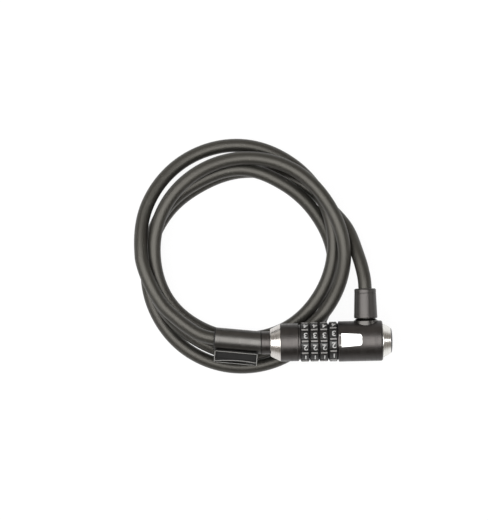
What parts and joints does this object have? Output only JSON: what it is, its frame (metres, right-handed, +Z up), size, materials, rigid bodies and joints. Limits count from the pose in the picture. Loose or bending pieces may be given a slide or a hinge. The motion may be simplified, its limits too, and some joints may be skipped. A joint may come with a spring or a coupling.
{
  "type": "combination cable lock",
  "caption": "Combination cable lock: a coiled vinyl-covered cable joins a swivelled lock head with number dials to a toothed plug that slides into its mouth.",
  "frame": {"origin": "on the surface that the coil lies on, under the innermost turn where it passes below the lock head, 3.3 mm beside the head's axis", "axes": "+X along the lock head from plug to end button, +Z up from the surface, +Y across the coil away from the head"},
  "size_m": [0.1914, 0.1769, 0.0469],
  "materials": {
    "cable_jacket": "matte soft vinyl",
    "body_black": "satin black lacquer",
    "dial_black": "satin",
    "sleeve_black": "satin",
    "foot_black": "dull moulded",
    "button_black": "smooth",
    "nose_steel": "turned, lacquered",
    "bare_steel": "plain",
    "hub_brass": "turned",
    "plate_silver": "bright satin",
    "seal_rubber": "matte",
    "number_print": "printed numbers"
  },
  "bodies": {
    "lock_head": {"cable_coil": "cable_jacket", "cable_plug_end": "cable_jacket", "cable_tail": "cable_jacket", "front_nose": "nose_steel", "front_barrel": "body_black", "front_washer": "body_black", "core_tube": "bare_steel", "core_clip": "bare_steel", "core_plug": "hub_brass", "detent_balls": "bare_steel", "detent_leaf": "bare_steel", "dial_spacers": "hub_brass", "housing": "body_black", "index_plate": "plate_silver", "end_cone": "nose_steel", "grub_screw": "bare_steel", "swivel_stud": "body_black", "stud_nut": "bare_steel", "swivel_clip": "bare_steel", "button_spring": "bare_steel"},
    "plug": {"plug_pin": "bare_steel", "plug_seal": "seal_rubber", "plug_collar": "body_black", "plug_sleeve": "sleeve_black", "carrier_foot": "foot_black", "cable_crimp": "bare_steel"},
    "cable_swivel": {"ferrule": "body_black", "ferrule_collar": "body_black"},
    "button": {"end_button": "button_black", "button_clips": "bare_steel"},
    "dial_1": {"dial_1": "dial_black", "hub_1": "hub_brass"},
    "dial_2": {"dial_2": "dial_black", "hub_2": "hub_brass"},
    "dial_3": {"dial_3": "dial_black", "hub_3": "hub_brass"},
    "dial_4": {"dial_4": "dial_black", "hub_4": "hub_brass"}
  },
  "joints": [
    {"name": "plug_slide", "type": "slide", "parent": "lock_head", "child": "plug", "axis": [-1, 0, 0], "range_m": [0, 0.055], "deforming": ["cable_plug_end"]},
    {"name": "dial_1_turn", "type": "hinge", "parent": "lock_head", "child": "dial_1", "pos_m": [0, -0.0033, 0.0315], "axis": [1, 0, 0], "continuous": true, "deforming": ["detent_balls", "detent_leaf"]},
    {"name": "dial_2_turn", "type": "hinge", "parent": "lock_head", "child": "dial_2", "pos_m": [0, -0.0033, 0.0315], "axis": [1, 0, 0], "continuous": true, "deforming": ["detent_balls", "detent_leaf"]},
    {"name": "dial_3_turn", "type": "hinge", "parent": "lock_head", "child": "dial_3", "pos_m": [0, -0.0033, 0.0315], "axis": [1, 0, 0], "continuous": true, "deforming": ["detent_balls", "detent_leaf"]},
    {"name": "dial_4_turn", "type": "hinge", "parent": "lock_head", "child": "dial_4", "pos_m": [0, -0.0033, 0.0315], "axis": [1, 0, 0], "continuous": true, "deforming": ["detent_balls", "detent_leaf"]},
    {"name": "cable_swivel_turn", "type": "hinge", "parent": "lock_head", "child": "cable_swivel", "pos_m": [0.0907, 0, 0.0315], "axis": [0, 1, 0], "continuous": true},
    {"name": "button_press", "type": "slide", "parent": "lock_head", "child": "button", "axis": [-1, 0, 0], "range_m": [0, 0.0014], "stiffness_N_per_m": 900, "springref_m": -0.0015, "deforming": ["button_spring"]}
  ]
}
